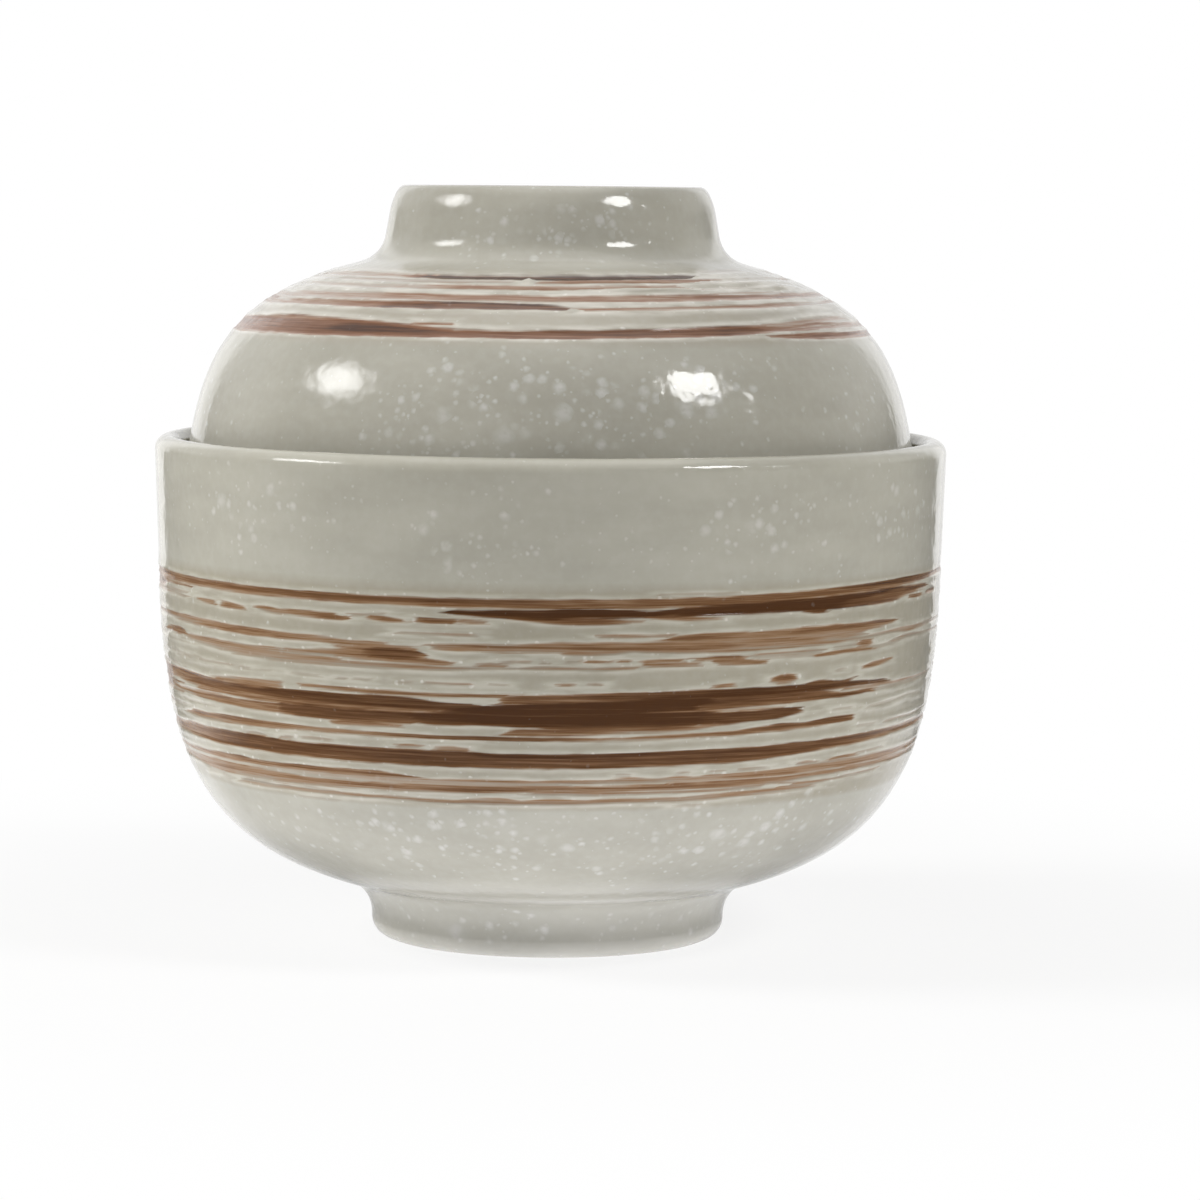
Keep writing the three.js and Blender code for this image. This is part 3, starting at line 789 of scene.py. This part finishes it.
def brushed_piece(name, outline, outside, band, strokes, lanes, flecks, pool_and_highlight, drops, seed):
    """Turns a piece with its brushed band: strokes are grooves, and the glaze between them stands proud."""
    random = np.random.default_rng(seed)
    angle = np.arange(COLUMNS) / COLUMNS * 360 - 180
    turns, height = np.meshgrid(angle, outline[1:-1, 1])
    outside = outside[1:-1, None]
    rows = height[:, :1]
    above = smooth(band[1] - BAND_FADE, band[1], rows)
    weight = smooth(band[0], band[0] + BAND_FADE, rows) * (1 - above) * outside
    depth, tone = paint(random, back_strokes(random, lanes) + strokes, turns, height)
    depth = np.where(weight > 0, depth, FAR_OUTSIDE)

    cover = smooth(-0.25, 0.3, depth) * (0.45 + 0.55 * tone)
    lumps = turn_noise(random, turns, height, *LUMP_CELLS)
    ripple = turn_noise(random, turns, height, *RIPPLE_CELLS)
    beads = smooth(0.62, 0.9, turn_noise(random, turns, height, *BEAD_CELLS))
    near = smooth(-0.9, -0.15, depth) * (1 - cover)
    ridge = RIDGE_HEIGHT * (0.35 + 0.65 * near) + LUMP_HEIGHT * (lumps - 0.4) + BEAD_HEIGHT * beads * near
    push = weight * (ridge * (1 - cover) - GROOVE_DEPTH * cover)
    for place, level, radius in drops:
        scale = np.interp(level, height[:, 0], outline[1:-1, 0]) * radians(1)
        away = np.hypot((turns - place) * scale, (height - level) * DROP_SQUASH)
        push = push + weight * DROP_HEIGHT * smooth(radius, 0, away)
        depth = np.where((away < radius) & (weight > 0), np.minimum(depth, -0.2), depth)
    push = push + RIPPLE_DEPTH * (ripple - 1.0) * outside
    # A pale line round the crease: gathered glaze and a painted highlight
    pool_highlight = pool_and_highlight[2] * np.exp(-(((height - pool_and_highlight[0]) / pool_and_highlight[1]) ** 2))
    values = {
        "stroke": np.clip(depth, FAR_OUTSIDE, 1.5),
        "tone": tone,
        "band": weight * np.ones_like(tone),
        "fleck": clusters(flecks, turns, height),
        "pool_and_highlight": pool_highlight * outside,
    }
    return turned_mesh(name, outline, push, values)


class Field:
    """A value in a node tree that takes part in sums like a number."""

    def __init__(self, tree, socket):
        self.tree = tree
        self.socket = socket

    def other(self, output):
        """Another output of the same node."""
        return Field(self.tree, self.socket.node.outputs[output])

    def to(self, socket):
        self.tree.links.new(self.socket, socket)

    def combine(self, operation, term):
        return field(self.tree, "Math", {0: self, 1: term}, operation=operation)

    __add__ = partialmethod(combine, "ADD")
    __sub__ = partialmethod(combine, "SUBTRACT")
    __mul__ = partialmethod(combine, "MULTIPLY")
    __truediv__ = partialmethod(combine, "DIVIDE")
    at_least = partialmethod(combine, "MAXIMUM")


def field(tree, kind, inputs, output=0, **settings):
    """Adds a node with its settings and inputs, and gives one of its outputs."""
    node = tree.nodes.new("ShaderNode" + kind)
    for key, value in settings.items():
        setattr(node, key, value)
    for key, value in inputs.items():
        if isinstance(value, Field):
            value.to(node.inputs[key])
        else:
            node.inputs[key].default_value = value
    return Field(tree, node.outputs[output])


def ramp(value, low, high, start=0.0, end=1.0):
    """Goes smoothly from start to end as the value goes from low to high."""
    inputs = {"Value": value, "From Min": low, "From Max": high, "To Min": start, "To Max": end}
    return field(value.tree, "MapRange", inputs, "Result", interpolation_type="SMOOTHSTEP")


def blend(share, first, second):
    """Goes from the first colour to the second as the share goes from 0 to 1."""
    return field(share.tree, "Mix", {0: share, 6: first, 7: second}, 2, data_type="RGBA")


def vector(operation, place, *terms, output=0):
    inputs = dict(enumerate((place, *terms)))
    return field(place.tree, "VectorMath", inputs, output, operation=operation)


def stretched(place, across, up):
    return vector("MULTIPLY", place, (across, across, up))


def noise(place, scale=1.0, detail=2.0, roughness=0.5, output="Fac"):
    inputs = {"Vector": place, "Scale": scale, "Detail": detail, "Roughness": roughness}
    return field(place.tree, "TexNoise", inputs, output)


def attribute(tree, name):
    return field(tree, "Attribute", {}, "Fac", attribute_name=name)


def in_millimetres(tree, shift):
    """Coordinates on the piece in millimetres, moved so that two pieces don't share a pattern."""
    place = field(tree, "TexCoord", {}, "Object")
    return vector("MULTIPLY_ADD", place, (1 / MM,) * 3, (shift,) * 3)


def spots(place, per_mm, largest, density):
    """Uneven spots of many sizes, 1 inside and 0 outside, in the given share of the cells."""
    waver = noise(place, 2 * per_mm, 1.0, output="Color")
    bent = vector("MULTIPLY_ADD", waver, (SPOT_WAVER / per_mm,) * 3, place)
    distance = field(place.tree, "TexVoronoi", {"Vector": bent, "Scale": per_mm}, "Distance")
    chance = field(place.tree, "SeparateColor", {0: distance.other("Color")})
    size = (chance + density - 1.0).at_least(0.0) * largest
    return ramp(distance / size.at_least(0.001), 1.0, 0.15)


def speckles(place):
    """Pale specks in loose clusters."""
    fleck = attribute(place.tree, "fleck")
    large = spots(place, 0.28, 0.55, fleck * 0.9)
    middle = spots(place, 0.6, 0.75, fleck)
    small = spots(place, 1.0, 0.6, fleck * 0.7 + 0.2)
    every = (large * 0.8).at_least(middle).at_least(small * 0.8)
    return every * ramp(noise(place, 1.4), 0.2, 0.6, 0.45, 1.0)


def colour_steps(value, colours):
    """Goes through the colours of the brushed tones as the value rises."""
    chosen = field(value.tree, "ValToRGB", {0: value})
    stops = chosen.socket.node.color_ramp.elements
    stops[0].position, stops[1].position = BRUSH_TONES[0], BRUSH_TONES[-1]
    for tone in BRUSH_TONES[1:-1]:
        stops.new(tone)
    for stop, colour in zip(stops, colours):
        stop.color = srgb(*colour)
    return chosen


def new_material(name):
    material = bpy.data.materials.new(name)
    material.use_nodes = True
    return material, material.node_tree, material.node_tree.nodes["Principled BSDF"].inputs


def uneven(height, depth_mm, inputs):
    """Bump of the given depth on a shader."""
    bump = {"Strength": 0.5, "Distance": depth_mm * MM, "Height": height}
    field(height.tree, "Bump", bump).to(inputs["Normal"])


def pale_ground(place, grain, base, depth, speck):
    """The bare glaze, darker in the band but pale and beaded along the strokes, with a painted highlight on
    the pale ridges.
    """
    deep, light, between, fleck, ridge, bead = base
    band = attribute(place.tree, "band")
    broad = noise(stretched(place, 0.045, 0.16), 1.0, 3.0)
    ground = blend(ramp(broad, 0.3, 0.7), deep, light)
    ground = blend(band * 0.65, ground, between)
    ground = blend(ramp(grain, 0.35, 0.75, 0.0, 0.06), ground, fleck)
    ground = blend(speck * 0.46, ground, fleck)
    # Painted highlight and gathered glaze in a pale line along the creases, in the colour of the beads
    pool_highlight = attribute(place.tree, "pool_and_highlight") * ramp(broad, 0.35, 0.6, 0.25, 0.95)
    ground = blend(pool_highlight, ground, bead)
    # Pale glaze on the ridges beside the strokes, lighter in part as a painted highlight where the relief
    # catches the lamps
    near = ramp(depth, -0.9, -0.1) * band
    flake = noise(stretched(place, 0.2, 1.1), 1.0, 2.0, 0.55)
    ground = blend(near * ramp(flake, 0.3, 0.66, 0.15, 0.75), ground, ridge)
    return blend(spots(place, 0.9, 0.5, near * 0.9) * 0.55, ground, bead)


def glaze_material(name, base, brush, shift):
    """Glossy grey-cream glaze with pale specks, and a brushed brown where the strokes are."""
    material, tree, inputs = new_material(name)
    base = [srgb(*colour) for colour in base]
    place = in_millimetres(tree, shift)
    grain = noise(place, 0.8, 3.0)
    speck = speckles(place)
    depth = attribute(tree, "stroke")
    tone = attribute(tree, "tone")
    ground = pale_ground(place, grain, base, depth, speck)

    # Edges of the strokes are frayed by streaks that run round the piece
    streak = noise(stretched(place, 0.05, 2.4), 1.0, 4.0, 0.6) - 0.5
    hair = noise(stretched(place, 0.16, 6.5), 1.0, 3.0, 0.6) - 0.5
    edge = depth + 0.06 + streak * 0.3 + hair * 0.2
    mask = ramp(edge, -0.16, 0.12)

    thin = ramp(edge, -0.05, 0.4, -0.18, 0.02)
    stain = colour_steps(tone + streak + hair * 0.55 + thin, brush)
    stain = blend(speck * 0.08, stain, base[FLECK])
    share = mask * ramp(tone, 0.05, 0.42, 0.3, 1.0)
    blend(share, ground, stain).to(inputs["Base Color"])

    (share * 0.12 + ramp(grain, 0.3, 0.7, 0.07, 0.12)).to(inputs["Roughness"])
    inputs["IOR"].default_value = 1.5
    relief = grain * 0.05 + noise(place, 0.3) + speck * 0.04 + hair * share * 0.25
    uneven(relief, 0.22, inputs)
    return material


def clay_material(name):
    """Unglazed stoneware, wiped clean where a piece stands."""
    material, tree, inputs = new_material(name)
    place = in_millimetres(tree, CLAY_SHIFT)
    fine = noise(place, 2.2, 4.0, 0.7)
    body = blend(ramp(noise(place, 0.2), 0.3, 0.7), srgb(196, 184, 163), srgb(208, 198, 180))
    grit = spots(place, 1.3, 0.3, 0.8)
    blend(grit * 0.5, body, srgb(150, 130, 108)).to(inputs["Base Color"])
    ramp(fine, 0.3, 0.7, 0.75, 0.95).to(inputs["Roughness"])
    uneven(fine, 0.15, inputs)
    return material


def make_bowl(clay):
    outline = bowl_outline()
    crest = int(np.argmax(outline[:, 1]))
    outside = (np.arange(len(outline)) < crest).astype(float)
    outside[outline[:, 1] < FOOT_EVEN] = 0.0
    marks = (BOWL_STROKES, BOWL_LANES, BOWL_FLECKS, BOWL_POOL_AND_HIGHLIGHT, [])
    piece = brushed_piece("bowl_glazed", outline, outside, BOWL_BAND, *marks, SEED)
    piece.data.materials.append(glaze_material("bowl_glaze_look", BOWL_BASE, BOWL_BRUSH, 0.0))
    piece.data.materials.append(clay)
    flat = FOOT_RADIUS - FOOT_OUTER_EDGE
    bare_faces(piece, flat - FOOT_FLAT - FOOT_INNER_EDGE, flat + BARE_MARGIN, 0.0)
    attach(piece, "bowl")
    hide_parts("bowl")


def make_lid(clay):
    outline = lid_outline()
    rows = np.arange(len(outline))
    seat = int(np.argmax(outline[:, 0]))
    top = int(np.argmax(outline[:, 1]))
    outside = ((rows > seat) & (rows < top - RING_EVEN_ROWS)).astype(float)
    marks = (LID_STROKES, LID_LANES, LID_FLECKS, LID_POOL_AND_HIGHLIGHT, LID_DROPS)
    piece = brushed_piece("lid_glazed", outline, outside, LID_BAND, *marks, SEED + 1)
    piece.data.materials.append(glaze_material("lid_glaze_look", LID_BASE, LID_BRUSH, LID_SHIFT))
    piece.data.materials.append(clay)
    bare_faces(piece, LID_RADIUS - LID_WALL, LID_RADIUS - LID_EDGE / 2, LEDGE_HEIGHT)
    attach(piece, "lid")
    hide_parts("lid")


def make_floor():
    """Pale floor that keeps the shadow near the bowl and runs out into the white background."""
    mesh = bpy.data.meshes.new("floor")
    corners = [(x * FLOOR_HALF, y * FLOOR_HALF, 0) for x, y in ((-1, -1), (1, -1), (1, 1), (-1, 1))]
    mesh.from_pydata(corners, [], [(0, 1, 2, 3)])
    floor = add_object("floor", mesh)
    material, tree, inputs = new_material("floor_look")
    place = field(tree, "TexCoord", {}, "Object")
    camera_ray = field(tree, "LightPath", {}, "Is Camera Ray")
    glossy_ray = camera_ray.other("Is Glossy Ray")
    blend(noise(place, 30.0, 3.0), srgb(223, 223, 222), srgb(228, 228, 227)).to(inputs["Base Color"])
    inputs["Roughness"].default_value = 0.8
    inputs["Specular IOR Level"].default_value = 0.1
    away = vector("LENGTH", place, output="Value")
    back = field(tree, "SeparateXYZ", {0: place}, "Y")

    # To the camera it fades to white, and in reflections it is dim in front and white behind
    fade = ramp(away, 0.05, 0.17, 0.85, 1.0) * camera_ray
    behind = ramp(back / away, 0.83, 0.86)
    close = ramp(away, 0.1, 0.2, 1.0, 0.0) * ramp(back, -0.04, 0.06)
    under = ramp(away, 0.024, 0.034, 0.6, 0.0)
    mirrored = ramp(behind.at_least(close).at_least(under), 0.0, 1.0, 0.15, 1.0)
    level = glossy_ray * (mirrored - 1.0) + 1.0
    shown = field(tree, "Emission", {"Color": (1, 1, 1, 1), "Strength": level})
    matt = Field(tree, tree.nodes["Principled BSDF"].outputs[0])
    both = field(tree, "MixShader", {0: fade.at_least(glossy_ray), 1: matt, 2: shown})

    # Light that a white table throws up under the belly
    lift = ramp(away, 0.024, 0.034, 1.35, 0.6).at_least(ramp(away, 0.042, 0.056, 0.6, 1.4))
    lift = lift * ramp(away, 0.072, 0.112, 1.0, 0.0) * camera_ray.other("Is Diffuse Ray")
    bounce = field(tree, "Emission", {"Color": (0.945, 0.967, 1.1, 1), "Strength": lift})
    total = field(tree, "AddShader", {0: both, 1: bounce})
    total.to(tree.nodes["Material Output"].inputs["Surface"])
    mesh.materials.append(material)


def make_world():
    """White to the camera. Reflections see a white backdrop behind the bowl and a dimmer room in front."""
    world = bpy.data.worlds.new("studio")
    bpy.context.scene.world = world
    world.use_nodes = True
    tree = world.node_tree
    direction = field(tree, "TexCoord", {}, "Generated")
    back = field(tree, "SeparateXYZ", {0: direction}, "Y")
    up = back.other("Z")
    level_length = vector("LENGTH", stretched(direction, 1.0, 0.0), output="Value")
    backdrop = ramp(back / level_length, 0.8, 0.83)
    ceiling = ramp(up, 0.5, 0.85, 0.0, 0.6)
    walls = ramp(up, -0.02, 0.25, 0.0, 0.6) * ramp(back, -0.1, 0.5)
    mirrored = ramp(backdrop.at_least(ceiling).at_least(walls), 0.0, 1.0, AMBIENT, 1.0)
    camera_ray = field(tree, "LightPath", {}, "Is Camera Ray")
    shiny = camera_ray.other("Is Glossy Ray").at_least(camera_ray.other("Is Transmission Ray"))
    seen = shiny * (mirrored - AMBIENT) + AMBIENT
    background = tree.nodes["Background"].inputs
    seen.at_least(camera_ray).to(background["Strength"])
    background["Color"].default_value = (1, 1, 1, 1)


def make_lamp(name, azimuth, elevation, distance, width, height, power, mirrored):
    """A soft box aimed at the middle of the bowl."""
    lamp = bpy.data.lights.new(name, "AREA")
    lamp.shape = "ELLIPSE"
    lamp.size = width
    lamp.size_y = height
    lamp.energy = power
    holder = add_object(name, lamp)
    turn, rise = radians(azimuth), radians(elevation)
    toward = Vector((sin(turn) * cos(rise), -cos(turn) * cos(rise), sin(rise)))
    holder.location = Vector((0, 0, LAMP_AIM)) + toward * distance
    holder.rotation_euler = toward.to_track_quat("Z", "Y").to_euler()
    holder.visible_camera = False
    holder.visible_glossy = mirrored
    return lamp


def soft_edge(lamp):
    """Lets a soft box fade towards its rim."""
    lamp.use_nodes = True
    tree = lamp.node_tree
    place = field(tree, "NewGeometry", {}, "Parametric")
    away = vector("DISTANCE", place, (0.5, 0.5, 0.0), output="Value")
    ramp(away, 0.08, 0.5, 1.0, 0.0).to(tree.nodes["Emission"].inputs["Strength"])


def make_camera():
    camera = bpy.data.cameras.new("camera")
    camera.lens = CAMERA_LENS
    holder = add_object("camera", camera)
    place = Matrix.Translation(CAMERA_PLACE)
    for angle, axis in ((CAMERA_TURN, "Z"), (90 - CAMERA_DOWN, "X"), (CAMERA_ROLL, "Z")):
        place = place @ Matrix.Rotation(radians(angle), 4, axis)
    holder.matrix_world = place
    bpy.context.scene.camera = holder


make_camera()
make_floor()
make_world()
lamps = {row[0]: make_lamp(*row) for row in LAMPS}
soft_edge(lamps["left_box"])
stoneware = clay_material("bare_stoneware")
make_bowl(stoneware)
make_lid(stoneware)
bpy.context.scene.view_settings.view_transform = "Standard"
